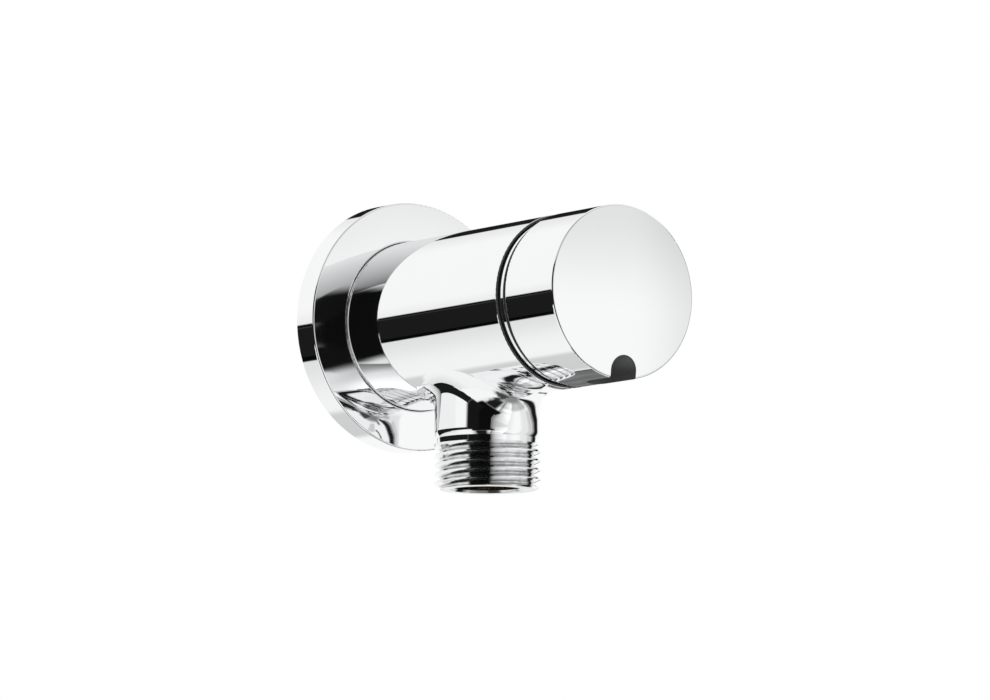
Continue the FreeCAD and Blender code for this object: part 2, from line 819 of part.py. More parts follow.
def inlet_strainer():
    """A thin disc full of holes in a turned rim, which keeps grit out of the valve."""
    rear = strainer_rear
    front = rear + strainer_rim
    sheet_rear = front - strainer_sheet
    collar_front = front + strainer_collar
    outer = recess_r - fit_gap
    rim_r = outer - strainer_rim_width
    collar_r = outer - strainer_collar_width
    shape = turned((rear, rim_r), (rear, outer), (collar_front, outer), (collar_front, collar_r),
                   (front, collar_r), (front, 0), (sheet_rear, 0), (sheet_rear, rim_r))
    reach = rim_r - strainer_hole / 2 - fine_edge
    row_pitch = strainer_hole_pitch * math.sqrt(3) / 2
    rows = int(reach / row_pitch)
    holes = []
    for row in range(-rows, rows + 1):
        z = row * row_pitch
        shift = strainer_hole_pitch / 2 if row % 2 else 0
        for column in range(-rows - 1, rows + 2):
            x = column * strainer_hole_pitch + shift
            if math.hypot(x, z) < reach:
                hole = disc(sheet_rear - 1, front + 1, strainer_hole / 2)
                hole.translate(V(x, 0, z))
                holes.append(hole)
    return solid_of(shape.cut(Part.makeCompound(holes)))


def strainer_snap_ring():
    outer = recess_r + snap_ring_bite
    return open_ring(snap_ring_rear, snap_ring_rear + snap_ring_thickness, outer - snap_ring_width, outer,
                     snap_ring_opening)


pieces = {
    "valve_body": valve_body(),
    "inlet_strainer": inlet_strainer(),
    "strainer_snap_ring": strainer_snap_ring(),
    "flow_restrictor": flow_restrictor(),
    "restrictor_oring": restrictor_oring(),
    "cartridge_housing": cartridge_housing(),
    "housing_oring_front": housing_oring_front(),
    "housing_oring_rear": housing_oring_rear(),
    "slip_washer": slip_washer(),
    "cartridge_nut": cartridge_nut(),
    "stem_guide": stem_guide(),
    "guide_oring": guide_oring(),
    "stem_oring": stem_oring(),
    "guide_circlip": guide_circlip(),
    "push_button_cap": push_button_cap(),
    "stem_adapter": stem_adapter(),
    "button_grub_screw": button_grub_screw(),
    "push_stem": push_stem(),
    "stem_stop_ring": stem_stop_ring(),
    "button_spring": button_spring(),
    "piston": piston(),
    "piston_lip_seal": piston_lip_seal(),
    "piston_guide_ring": piston_guide_ring(),
    "metering_screw": metering_screw(),
    "valve_rod": valve_rod(),
    "piston_nut": rod_nut(piston_front),
    "disc_nut": rod_nut(disc_rear() - rod_nut_thickness),
    "valve_disc": valve_disc(),
    "seat_washer": seat_washer(),
    "piston_spring": piston_spring(),
    "wall_rosette": wall_rosette(),
    "rosette_oring": rosette_oring(),
    "wall_gasket": wall_gasket(),
}

os.makedirs("parts", exist_ok=True)
for name, shape in pieces.items():
    if not shape.isValid() or len(shape.Solids) != 1 or shape.Volume <= 0:
        print("check", name, shape.isValid(), len(shape.Solids), round(shape.Volume, 2))
    shape.exportStep("parts/" + name + ".step")
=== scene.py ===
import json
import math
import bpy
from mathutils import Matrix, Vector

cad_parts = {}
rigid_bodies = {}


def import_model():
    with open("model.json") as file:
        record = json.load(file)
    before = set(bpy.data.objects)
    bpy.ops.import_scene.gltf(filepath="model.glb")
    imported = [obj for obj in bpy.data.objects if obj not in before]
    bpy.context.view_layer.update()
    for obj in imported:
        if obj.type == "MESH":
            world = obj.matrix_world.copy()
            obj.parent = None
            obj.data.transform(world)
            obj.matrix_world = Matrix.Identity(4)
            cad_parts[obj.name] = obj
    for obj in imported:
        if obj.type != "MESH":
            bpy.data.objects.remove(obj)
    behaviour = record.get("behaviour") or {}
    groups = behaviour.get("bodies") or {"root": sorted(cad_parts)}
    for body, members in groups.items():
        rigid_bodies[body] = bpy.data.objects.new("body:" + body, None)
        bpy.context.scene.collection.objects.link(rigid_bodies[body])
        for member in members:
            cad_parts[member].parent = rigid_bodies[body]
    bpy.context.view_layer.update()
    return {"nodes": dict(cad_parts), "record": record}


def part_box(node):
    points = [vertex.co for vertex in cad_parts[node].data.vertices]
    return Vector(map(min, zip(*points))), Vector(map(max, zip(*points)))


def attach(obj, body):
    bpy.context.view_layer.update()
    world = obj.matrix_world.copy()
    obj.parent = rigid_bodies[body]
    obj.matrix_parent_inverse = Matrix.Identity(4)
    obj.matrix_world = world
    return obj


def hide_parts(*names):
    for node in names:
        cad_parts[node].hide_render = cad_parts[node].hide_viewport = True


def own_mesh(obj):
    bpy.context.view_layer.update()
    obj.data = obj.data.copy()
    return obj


bl_info = {
    "name": "Urinal flush valve",
    "version": (1, 0, 0),
    "blender": (4, 5, 0),
    "location": "View3D > Sidebar > Flush valve",
    "description": "Finishes and studio for a chromed push-button flush valve",
    "category": "Object",
}

import bpy
from bpy.props import FloatProperty, FloatVectorProperty, PointerProperty
from bpy.types import Operator, Panel, PropertyGroup
from mathutils import Matrix, Vector

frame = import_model()

# The camera looks along VIEW, a little upwards and from the button's left.
VIEW = Vector((0.58428, 0.80302, 0.11736))
VIEW_RIGHT = Vector((0.8086, -0.5884, 0.0))

# The outlet: its axis, the heights where its bore and its thread start, its bore, and the height
# below which its mouth is plated.
OUTLET_Y = -0.030
OUTLET_TOP = -0.0130
OUTLET_THREAD_TOP = -0.0259
BORE_RADIUS = 0.00685
PLATED_MOUTH = -0.0318

# The barrel's rear end and its chamber, and the bore and the thread of the tail behind it.
BARREL_REAR = -0.0018
CHAMBER_RADIUS = 0.0149
TAIL_BORE_RADIUS = 0.0090
TAIL_THREAD_FRONT = -0.0003

# The cut threads: how blurred they are, the distances from the outlet's axis between which
# their plating goes from its darkest painted shade to the full colour, and how dark that painted
# shade in the thread's roots is.
THREAD_ROUGHNESS = 0.09
THREAD_DEPTH = (0.0092, 0.0099)
THREAD_PAINTED_SHADE = 0.5

# The body's mouth, and the button's skirt in it, which get a dark matt colour as painted shade.
MOUTH_Y = -0.0475
MOUTH_RADIUS = 0.01695
SKIRT_Y = -0.0592
SKIRT_RADIUS = 0.0163
DULL_ROUGHNESS = 0.5

# The notch for the key under the button: its arch's centre, its radius and its inner end.
NOTCH_Z = -0.0153
NOTCH_RADIUS = 0.00303
NOTCH_Y = -0.0648

# The button's domed face: where it starts, its radius, and the centre of its sphere.
FACE_Y = -0.07445
FACE_RADIUS = 0.0164
FACE_CENTRE_Y = 0.0763

# The turning marks in the bare brass bores: how many to a metre, and how blurred they are.
BORE_RINGS = 4000.0
BORE_ROUGHNESS = (0.22, 0.38)

# The two coil springs: how thick their wire is and how many turns each has.
SPRING_WIRES = {"button_spring": 0.0012, "piston_spring": 0.0009}
SPRING_TURNS = 5.5

# The painted reflection for the button's underside, a dark glowing sheet that only reflections
# see: the angles about the axis that see it, how far along the button, how far away it stands,
# its black lower edge and how grey its cloud is.
BUTTON_RADIUS = 0.017
CARD_LOW = 245.0
CARD_HIGH = 276.0
CARD_REAR = -0.0580
CARD_FRONT = -0.0900
CARD_REACH = 0.300
CARD_EDGE = 0.004
CARD_BLACK = 0.01
CARD_GREY = (0.10, 0.22)

# Directions in the studio are in degrees. A bearing is 0 towards the wall, 90 to the button's
# right and -90 to its left. At HALL_EDGE the front board ends and the dark hall behind the camera
# begins, and a turn is counted from there round the front board.
HALL_EDGE = -153.0

# The front board: the bearings where its ends blend away, how far round it fades in from the
# hall, its brightness at both ends of that, and how it darkens upwards and far round. In the
# last two, the numbers are from, to and the factors at both.
FRONT_ENDS = (100.0, 112.0)
FADE_TURN = 52.0
FADE_POWER = 0.5
FADE_LEVELS = (0.12, 1.02)
FADE_UPWARDS = (4.0, 18.0, 1.0, 0.81)
FADE_ROUND = (65.0, 79.0, 1.0, 0.84)

# Its uppermost and its lowest part: the heights from and to, their softness and the factor.
FRONT_STEEP = ((52.0, 91.0, 8.0, 0.72), (-91.0, -42.0, 5.0, 0.60))

# Slow changes in the boards' brightness: what the width is measured by, the width from and to,
# the height from and to, the softness of both, what the change runs along, from and to, and the
# factors at both ends.
BOARDS = (
    ("bearing", -70.0, -4.0, -60.0, -15.0, 2.0, 0.5, "height", -35.0, -15.0, 0.97, 0.81),
    ("bearing", -70.0, 0.0, 0.0, 20.0, 3.0, 1.0, "height", 3.0, 13.0, 0.91, 1.0),
    ("bearing", 2.0, 60.0, 26.0, 60.0, 2.0, 1.0, "bearing", 4.0, 26.0, 1.0, 0.87),
    ("bearing", -5.5, 19.0, -60.0, -29.0, 3.0, 2.0, "bearing", -6.0, 19.0, 0.68, 0.66),
    ("turn", 7.0, 36.0, -29.0, 3.0, 4.0, 3.0, "height", -29.0, 3.0, 1.45, 1.2),
    ("turn", 4.0, 36.0, -72.0, -32.0, 4.0, 3.0, "height", -60.0, -32.0, 2.2, 1.7),
)

# The dark gaps between the boards, each laid over those before it: the bearing from and to, the
# height from and to, the softness of both, and the brightness, where None is the studio's own.
GAPS = (
    (-400.0, 400.0, -100.0, -69.0, 1.0, 9.0, 0.25),
    (-56.0, -5.0, -15.2, 4.2, 3.0, 0.4, 0.002),
    (-100.0, -5.0, -12.8, 2.2, 3.0, 0.4, None),
    (-100.0, -16.0, 2.2, 2.8, 3.0, 0.3, 0.04),
    (HALL_EDGE, -109.0, -27.0, 29.0, 2.5, 3.0, 0.004),
    (-125.0, -97.5, -13.0, 29.0, 4.0, 3.0, 0.008),
    (-145.0, -114.0, -62.0, -26.0, 5.0, 4.0, 0.012),
    (-130.0, -106.0, -66.0, -54.0, 6.0, 4.0, 0.03),
    (-125.0, -45.0, -90.0, -67.0, 6.0, 4.0, 0.06),
    (14.0, 42.0, 9.0, 26.6, 2.0, 0.5, None),
    (86.0, 100.0, -58.0, 30.0, 4.0, 5.0, 0.36),
    (71.0, 91.0, -70.0, 30.0, 4.5, 4.0, 0.010),
    (40.0, 56.0, -90.0, -54.0, 4.0, 6.0, 0.17),
    (100.0, 112.0, -30.0, 30.0, 4.0, 4.0, 0.64),
)

# The two arms of the dark hall over and under the front board: the steepness where they start at
# the hall's edge, how fast that grows round the board, their outer limit below and above the
# horizon, their soft edges, the bearings they lie between and their brightness.
ARM_START = 8.5
ARM_SLOPE = 1.6
ARM_LIMIT = (-5.0, 5.0, 25.5, 28.5)
ARM_INNER_EDGE = (-1.0, 1.5)
ARM_OUTER_EDGE = (-3.0, 3.0)
ARM_BEARINGS = (-177.0, HALL_EDGE + 3.0)
ARM_DARK = 0.006


class ValveFinish(PropertyGroup):
    chrome: FloatVectorProperty(
        name="Chrome", description="Colour of the polished plating", subtype="COLOR",
        size=3, min=0, max=1, default=(0.945, 0.95, 0.955))
    chrome_roughness: FloatProperty(
        name="Chrome roughness", description="How blurred the plating's reflections are",
        subtype="FACTOR", min=0, max=1, default=0.03)
    ripple: FloatProperty(
        name="Ripple", description="Height of the slow waves that polishing leaves",
        subtype="DISTANCE", unit="LENGTH", min=0, max=0.0001, default=0.000003, precision=7)
    # Painted shade: the dark colour given to the notch, the mouth and the skirt, where shade
    # falls.
    painted_shade: FloatVectorProperty(
        name="Painted shade", description="Colour of the matt plating in the notch and the mouth",
        subtype="COLOR", size=3, min=0, max=1, default=(0.105, 0.105, 0.11))
    brass: FloatVectorProperty(
        name="Brass", description="Colour of the turned brass pieces", subtype="COLOR",
        size=3, min=0, max=1, default=(0.80, 0.62, 0.33))
    steel: FloatVectorProperty(
        name="Steel", description="Colour of the turned stainless steel", subtype="COLOR",
        size=3, min=0, max=1, default=(0.62, 0.62, 0.61))
    wire: FloatVectorProperty(
        name="Spring steel", description="Colour of the springs and circlips", subtype="COLOR",
        size=3, min=0, max=1, default=(0.42, 0.42, 0.43))
    rubber: FloatVectorProperty(
        name="Rubber", description="Colour of the seals and the wall gasket", subtype="COLOR",
        size=3, min=0, max=1, default=(0.030, 0.030, 0.031))
    black_acetal: FloatVectorProperty(
        name="Black acetal", description="Colour of the stem guide and the piston",
        subtype="COLOR", size=3, min=0, max=1, default=(0.055, 0.055, 0.06))
    white_acetal: FloatVectorProperty(
        name="White acetal", description="Colour of the flow restrictor and the guide ring",
        subtype="COLOR", size=3, min=0, max=1, default=(0.84, 0.84, 0.80))
    red_fibre: FloatVectorProperty(
        name="Red fibre", description="Colour of the slip washer", subtype="COLOR",
        size=3, min=0, max=1, default=(0.42, 0.10, 0.07))


class ValveStudio(PropertyGroup):
    camera_place: FloatVectorProperty(
        name="Camera", description="Where the camera stands", subtype="TRANSLATION",
        unit="LENGTH", size=3, default=(-0.76654, -1.08614, -0.16127))
    focal_length: FloatProperty(
        name="Focal length", description="The lens, on a 36 mm wide sensor", unit="CAMERA",
        min=10, max=600, default=241.8)
    floor_drop: FloatProperty(
        name="Floor", description="How far the floor lies below the valve's axis",
        unit="LENGTH", min=0.05, max=2, default=0.30)
    white: FloatProperty(
        name="White boards", description="Brightness of the studio's white boards",
        subtype="FACTOR", min=0, max=1, default=0.975)
    wall_dark: FloatProperty(
        name="Dark gaps", description="Brightness of the dark gaps between the boards",
        subtype="FACTOR", min=0, max=1, default=0.011)


class Sheet:
    """A node tree with short calls for the few nodes that the finishes need."""

    def __init__(self, tree):
        self.tree = tree
        tree.nodes.clear()

    def add(self, kind, **values):
        node = self.tree.nodes.new(kind)
        for name, value in values.items():
            setattr(node, name, value)
        return node

    def feed(self, socket, value):
        if isinstance(value, bpy.types.NodeSocket):
            self.tree.links.new(value, socket)
        else:
            socket.default_value = value

    def maths(self, operation, a, b=0.0):
        node = self.add("ShaderNodeMath", operation=operation)
        for socket, value in zip(node.inputs, (a, b)):
            self.feed(socket, value)
        return node.outputs[0]

    def span(self, value, low, high, out_low=0.0, out_high=1.0, smooth=True):
        node = self.add("ShaderNodeMapRange", clamp=True)
        node.interpolation_type = "SMOOTHSTEP" if smooth else "LINEAR"
        for name, entry in (("Value", value), ("From Min", low), ("From Max", high),
                            ("To Min", out_low), ("To Max", out_high)):
            self.feed(node.inputs[name], entry)
        return node.outputs["Result"]

    def within(self, value, low, high, soft):
        rise = self.span(value, low - soft, low + soft)
        fall = self.span(value, high - soft, high + soft, 1.0, 0.0)
        return self.maths("MULTIPLY", rise, fall)

    def blend(self, factor, a, b):
        node = self.add("ShaderNodeMix", data_type="FLOAT")
        self.feed(node.inputs[0], factor)
        self.feed(node.inputs[2], a)
        self.feed(node.inputs[3], b)
        return node.outputs[0]

    def blend_colour(self, factor, a, b):
        node = self.add("ShaderNodeMix", data_type="RGBA")
        self.feed(node.inputs[0], factor)
        self.feed(node.inputs[6], a)
        self.feed(node.inputs[7], b)
        return node.outputs[2]

    def noise(self, place, scale, detail=3.0, stretch=None):
        if stretch:
            mapping = self.add("ShaderNodeMapping")
            self.feed(mapping.inputs["Vector"], place)
            mapping.inputs["Scale"].default_value = stretch
            place = mapping.outputs[0]
        node = self.add("ShaderNodeTexNoise")
        self.feed(node.inputs["Vector"], place)
        node.inputs["Scale"].default_value = scale
        node.inputs["Detail"].default_value = detail
        return node.outputs["Fac"]

    def true_dome(self, x, y, z, start, radius, centre):
        """The shading normal of a piece whose face beyond start is part of a sphere."""
        towards = self.add("ShaderNodeCombineXYZ")
        for socket, value in zip(towards.inputs, (x, self.maths("SUBTRACT", y, centre), z)):
            self.feed(socket, value)
        normal = self.add("ShaderNodeVectorMath", operation="NORMALIZE")
        self.feed(normal.inputs[0], towards.outputs[0])
        on_face = self.maths("MULTIPLY", self.maths("LESS_THAN", y, start),
                             self.maths("LESS_THAN", self.radius(x, z), radius))
        node = self.add("ShaderNodeMix", data_type="VECTOR")
        self.feed(node.inputs[0], on_face)
        self.feed(node.inputs[4], self.add("ShaderNodeNewGeometry").outputs["Normal"])
        self.feed(node.inputs[5], normal.outputs[0])
        return node.outputs[1]

    def bump(self, height, distance, strength=1.0, under=None):
        node = self.add("ShaderNodeBump")
        self.feed(node.inputs["Height"], height)
        node.inputs["Strength"].default_value = strength
        node.inputs["Distance"].default_value = distance
        if under:
            self.feed(node.inputs["Normal"], under)
        return node.outputs[0]

    def place(self):
        return self.add("ShaderNodeTexCoord").outputs["Object"]

    def parts(self, vector):
        node = self.add("ShaderNodeSeparateXYZ")
        self.feed(node.inputs[0], vector)
        return node.outputs

    def radius(self, a, b):
        return self.maths("SQRT", self.maths("ADD", self.maths("MULTIPLY", a, a),
                                             self.maths("MULTIPLY", b, b)))


def four(colour):
    return (*colour, 1.0)


def shade(colour, factor):
    return tuple(min(1.0, c * factor) for c in colour)


def new_material(name):
    """A material with a sheet, its surface shader and its output."""
    material = bpy.data.materials.new(name)
    material.use_nodes = True
    sheet = Sheet(material.node_tree)
    shader = sheet.add("ShaderNodeBsdfPrincipled")
    output = sheet.add("ShaderNodeOutputMaterial")
    sheet.feed(output.inputs["Surface"], shader.outputs[0])
    return material, sheet, shader


def new_piece(name, mesh):
    """An object for a mesh, in the scene."""
    piece = bpy.data.objects.new(name, mesh)
    bpy.context.scene.collection.objects.link(piece)
    return piece


def dress(material, *nodes):
    """Give CAD nodes a finish, in every slot they have."""
    for name in nodes:
        if name not in frame["nodes"]:
            raise RuntimeError("the packed model has no piece " + name)
        piece = frame["nodes"][name]
        if not piece.material_slots:
            piece.data.materials.append(material)
        for entry in piece.material_slots:
            entry.material = material


def bare_bores(sheet, x, y, z):
    """Where the valve body is left as bare turned brass: its bores, and its rear behind them."""
    from_axis = sheet.radius(x, z)
    from_outlet = sheet.radius(x, sheet.maths("SUBTRACT", y, OUTLET_Y))
    in_tail = sheet.maths("MULTIPLY", sheet.maths("GREATER_THAN", y, BARREL_REAR),
                          sheet.maths("LESS_THAN", from_axis, TAIL_BORE_RADIUS))
    in_barrel = sheet.maths("MULTIPLY", sheet.maths("LESS_THAN", y, BARREL_REAR),
                            sheet.maths("LESS_THAN", from_axis, CHAMBER_RADIUS))
    deep = sheet.maths("MULTIPLY", sheet.maths("LESS_THAN", z, OUTLET_TOP),
                       sheet.maths("GREATER_THAN", z, PLATED_MOUTH))
    in_outlet = sheet.maths("MULTIPLY", deep, sheet.maths("LESS_THAN", from_outlet, BORE_RADIUS))
    return sheet.maths("MAXIMUM", in_tail, sheet.maths("MAXIMUM", in_barrel, in_outlet))


def painted_shade_in_mouth(sheet, x, y, z):
    """The recess at the body's front, which the button's skirt slides in, where shade is painted.
    """
    return sheet.maths("MULTIPLY", sheet.maths("LESS_THAN", y, MOUTH_Y),
                       sheet.maths("LESS_THAN", sheet.radius(x, z), MOUTH_RADIUS))


def painted_shade_in_notch(sheet, x, y, z):
    """The button's skirt and the inside of its notch, where shade is painted."""
    above = sheet.maths("MAXIMUM", sheet.maths("SUBTRACT", z, NOTCH_Z), 0.0)
    notch = sheet.maths("LESS_THAN", sheet.radius(x, above), NOTCH_RADIUS)
    notch = sheet.maths("MULTIPLY", notch, sheet.maths("LESS_THAN", z, NOTCH_Z + NOTCH_RADIUS))
    notch = sheet.maths("MULTIPLY", notch, sheet.maths("LESS_THAN", y, NOTCH_Y))
    skirt = sheet.maths("MULTIPLY", sheet.maths("GREATER_THAN", y, SKIRT_Y),
                        sheet.maths("LESS_THAN", sheet.radius(x, z), SKIRT_RADIUS))
    return sheet.maths("MAXIMUM", notch, skirt)


def cut_threads(sheet, x, y, z, tint, rough, finish):
    """The colour and roughness of a body whose two threads are cut less finely than the rest,
    with painted shade in the roots of the outlet's thread.
    """
    place = sheet.place()
    on_outlet = sheet.maths("LESS_THAN", z, OUTLET_THREAD_TOP)
    cut = sheet.maths("MAXIMUM", on_outlet, sheet.maths("GREATER_THAN", y, TAIL_THREAD_FRONT))
    from_outlet = sheet.radius(x, sheet.maths("SUBTRACT", y, OUTLET_Y))
    depth = sheet.span(from_outlet, *THREAD_DEPTH, 1.0, 0.0)
    # Painted shade: towards the outlet thread's core its colour darkens in streaks of noise,
    # standing in for the shade in the roots.
    marks = sheet.noise(place, scale=500.0, detail=2.0, stretch=(1.0, 1.0, 8.0))
    shade_streaks = sheet.span(marks, 0.3, 0.7, out_low=0.35, out_high=1.0)
    root_shade_mask = sheet.maths("MULTIPLY", on_outlet, sheet.maths("MULTIPLY", depth, shade_streaks))
    tint = sheet.blend_colour(root_shade_mask, tint, four(shade(finish.chrome, THREAD_PAINTED_SHADE)))
    return tint, sheet.blend(cut, rough, THREAD_ROUGHNESS)


def polished_chrome(name, finish, bare=None, painted_shade=None, threads=False, domed=False):
    """Mirror plating with the faint haze and slow waves of hand polishing.

    bare says where the piece is left as turned brass, the other mask where shade is painted onto
    it in a dark matt colour, threads are cut less finely than the rest and get painted shade in
    the outlet's roots, and domed is for the button's face.
    """
    material, sheet, shader = new_material(name)
    place = sheet.place()
    x, y, z = sheet.parts(place)
    haze = sheet.noise(place, scale=160.0, detail=4.0)
    wipe = sheet.noise(place, scale=90.0, detail=2.0, stretch=(1.0, 6.0, 1.0))
    tint = sheet.blend_colour(haze, four(shade(finish.chrome, 0.985)), four(finish.chrome))
    rough = sheet.span(sheet.maths("MULTIPLY", haze, wipe), 0.1, 0.5,
                       out_low=finish.chrome_roughness * 0.6,
                       out_high=finish.chrome_roughness * 1.5)
    if threads:
        tint, rough = cut_threads(sheet, x, y, z, tint, rough, finish)
    if bare:
        inside = bare(sheet, x, y, z)
        rings = sheet.maths("MULTIPLY", sheet.maths("ADD", y, z), BORE_RINGS)
        brass = sheet.blend_colour(haze, four(shade(finish.brass, 0.8)), four(finish.brass))
        tint = sheet.blend_colour(inside, tint, brass)
        turned = sheet.span(sheet.maths("FRACT", rings), 0.0, 1.0, *BORE_ROUGHNESS)
        rough = sheet.blend(inside, rough, turned)
    shader.inputs["Metallic"].default_value = 1.0
    # Painted shade: the recesses get a dark, matt, non-metallic colour that stands in for the
    # shade in them.
    if painted_shade:
        matt = painted_shade(sheet, x, y, z)
        dark = sheet.blend_colour(haze, four(shade(finish.painted_shade, 0.85)), four(finish.painted_shade))
        tint = sheet.blend_colour(matt, tint, dark)
        rough = sheet.blend(matt, rough, DULL_ROUGHNESS)
        sheet.feed(shader.inputs["Metallic"], sheet.maths("SUBTRACT", 1.0, matt))
    sheet.feed(shader.inputs["Base Color"], tint)
    sheet.feed(shader.inputs["Roughness"], rough)
    under = sheet.true_dome(x, y, z, FACE_Y, FACE_RADIUS, FACE_CENTRE_Y) if domed else None
    waves = sheet.noise(place, scale=70.0, detail=1.0)
    sheet.feed(shader.inputs["Normal"], sheet.bump(waves, finish.ripple, under=under))
    return material


def turned_metal(name, colour, pitch, smoothest, roughest, stain=0.85):
    """Metal straight from the lathe: fine rings about the valve's axis and a slight stain."""
    material, sheet, shader = new_material(name)
    place = sheet.place()
    x, y, z = sheet.parts(place)
    wobble = sheet.noise(place, scale=900.0, detail=2.0)
    along = sheet.maths("ADD", y, sheet.maths("MULTIPLY", sheet.radius(x, z), 0.35))
    rings = sheet.maths("SINE", sheet.maths("MULTIPLY", along, 2 * math.pi / pitch))
    rings = sheet.maths("MULTIPLY", rings, wobble)
    spots = sheet.noise(place, scale=240.0, detail=5.0)
    sheet.feed(shader.inputs["Base Color"],
               sheet.blend_colour(spots, four(shade(colour, stain)), four(colour)))
    shader.inputs["Metallic"].default_value = 1.0
    sheet.feed(shader.inputs["Roughness"], sheet.span(spots, 0.3, 0.7, smoothest, roughest))
    sheet.feed(shader.inputs["Normal"], sheet.bump(rings, distance=pitch * 0.02, strength=0.6))
    return material


def drawn_wire(name, colour):
    """Spring steel with the fine streaks of drawing and a thin oil film."""
    material, sheet, shader = new_material(name)
    streaks = sheet.noise(sheet.place(), scale=500.0, detail=5.0, stretch=(1.0, 5.0, 1.0))
    sheet.feed(shader.inputs["Base Color"],
               sheet.blend_colour(streaks, four(shade(colour, 0.75)), four(colour)))
    shader.inputs["Metallic"].default_value = 1.0
    sheet.feed(shader.inputs["Roughness"],
               sheet.span(streaks, 0.3, 0.7, out_low=0.24, out_high=0.40))
    sheet.feed(shader.inputs["Normal"], sheet.bump(streaks, distance=0.000004, strength=0.5))
    return material


def seal_rubber(name, colour):
    """Black moulded rubber with a pale bloom and a fine grain."""
    material, sheet, shader = new_material(name)
    place = sheet.place()
    bloom = sheet.noise(place, scale=180.0, detail=5.0)
    grain = sheet.noise(place, scale=6000.0, detail=2.0)
    sheet.feed(shader.inputs["Base Color"],
               sheet.blend_colour(sheet.span(bloom, 0.45, 0.75), four(colour),
                                  four(shade(colour, 1.7))))
    sheet.feed(shader.inputs["Roughness"],
               sheet.span(bloom, 0.3, 0.7, out_low=0.5, out_high=0.68))
    shader.inputs["Specular IOR Level"].default_value = 0.4
    sheet.feed(shader.inputs["Normal"], sheet.bump(grain, distance=0.00001, strength=0.4))
    return material


def moulded_plastic(name, colour, speck=0.9):
    """Moulded plastic with a satin skin and slight flow marks."""
    material, sheet, shader = new_material(name)
    place = sheet.place()
    flow = sheet.noise(place, scale=130.0, detail=4.0, stretch=(1.0, 2.5, 1.0))
    skin = sheet.noise(place, scale=3500.0, detail=2.0)
    sheet.feed(shader.inputs["Base Color"],
               sheet.blend_colour(flow, four(shade(colour, speck)), four(colour)))
    sheet.feed(shader.inputs["Roughness"],
               sheet.span(flow, 0.3, 0.7, out_low=0.32, out_high=0.45))
    sheet.feed(shader.inputs["Normal"], sheet.bump(skin, distance=0.000008, strength=0.35))
    return material


class VALVE_OT_chrome(Operator):
    """Give the valve body, the push button and the wall rosette their polished plating"""
    bl_idname = "valve.chrome"
    bl_label = "Chromed pieces"

    def execute(self, context):
        finish = context.scene.valve_finish
        dress(polished_chrome("body chrome", finish, bare=bare_bores, painted_shade=painted_shade_in_mouth,
                              threads=True), "valve_body")
        dress(polished_chrome("button chrome", finish, painted_shade=painted_shade_in_notch, domed=True),
              "push_button_cap")
        dress(polished_chrome("rosette chrome", finish), "wall_rosette")
        return {"FINISHED"}


class VALVE_OT_brass(Operator):
    """Finish the cartridge housing and the other turned brass pieces"""
    bl_idname = "valve.brass"
    bl_label = "Brass pieces"

    def execute(self, context):
        brass = turned_metal("turned brass", context.scene.valve_finish.brass,
                             pitch=0.00025, smoothest=0.22, roughest=0.36)
        dress(brass, "cartridge_housing", "cartridge_nut", "stem_adapter", "piston_nut",
              "disc_nut", "valve_disc")
        return {"FINISHED"}


class VALVE_OT_steel(Operator):
    """Finish the stem, the rod, the screws and the strainer in stainless steel"""
    bl_idname = "valve.steel"
    bl_label = "Steel pieces"

    def execute(self, context):
        steel = turned_metal("turned stainless", context.scene.valve_finish.steel,
                             pitch=0.00018, smoothest=0.20, roughest=0.32, stain=0.93)
        dress(steel, "push_stem", "valve_rod", "metering_screw", "button_grub_screw",
              "inlet_strainer")
        return {"FINISHED"}


def coil_spring(name, low, high, wire):
    """A smooth open coil of round wire about the valve's axis, which fills a box at rest."""
    steps_per_turn, sides = 40, 12
    radius = (high[0] - low[0] - wire) / 2
    rise = high[1] - low[1] - wire
    steps = round(SPRING_TURNS * steps_per_turn)
    slope = rise / (2 * math.pi * SPRING_TURNS)
    points = []
    for step in range(steps + 1):
        turn = 2 * math.pi * SPRING_TURNS * step / steps
        outward = Vector((math.cos(turn), 0.0, math.sin(turn)))
        along = Vector((-radius * math.sin(turn), -slope, radius * math.cos(turn))).normalized()
        across = along.cross(outward)
        middle = outward * radius + Vector((0.0, high[1] - wire / 2 - rise * step / steps, 0.0))
        for side in range(sides):
            around = 2 * math.pi * side / sides
            spoke = outward * math.cos(around) + across * math.sin(around)
            points.append(middle + spoke * wire / 2)
    faces = [tuple(range(sides)), tuple(reversed(range(steps * sides, (steps + 1) * sides)))]
    for step in range(steps):
        for side in range(sides):
            a = step * sides + side
            b = step * sides + (side + 1) % sides
            faces.append((a, a + sides, b + sides, b))
    mesh = bpy.data.meshes.new(name)
    mesh.from_pydata(points, [], faces)
    mesh.shade_smooth()
    return new_piece(name, mesh)


class VALVE_OT_springs(Operator):
    """Coil the two springs at rest, each riding with its joint's parent, and finish the clips"""
    bl_idname = "valve.springs"
    bl_label = "Springs and clips"

    def execute(self, context):
        wire = drawn_wire("spring steel", context.scene.valve_finish.wire)
        dress(wire, "guide_circlip", "stem_stop_ring", "strainer_snap_ring")
        for joint in frame["record"]["behaviour"]["joints"]:
            for entry in joint.get("deforming_nodes", []):
                node, fixed_end = entry["node"], entry["fixed_end_y_m"]
                low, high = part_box(node)
                spring = coil_spring(node + "_coil", low, high, SPRING_WIRES[node])
                spring.data.materials.append(wire)
                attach(spring, joint["parent"])
                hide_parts(node)
                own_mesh(spring)
        return {"FINISHED"}


class VALVE_OT_seals(Operator):
    """Finish every rubber seal and the wall gasket"""
    bl_idname = "valve.seals"
    bl_label = "Seals and gasket"

    def execute(self, context):
        rubber = seal_rubber("seal rubber", context.scene.valve_finish.rubber)
        dress(rubber, "wall_gasket", "rosette_oring", "housing_oring_front", "housing_oring_rear",
              "guide_oring", "stem_oring", "piston_lip_seal", "seat_washer", "restrictor_oring")
        return {"FINISHED"}


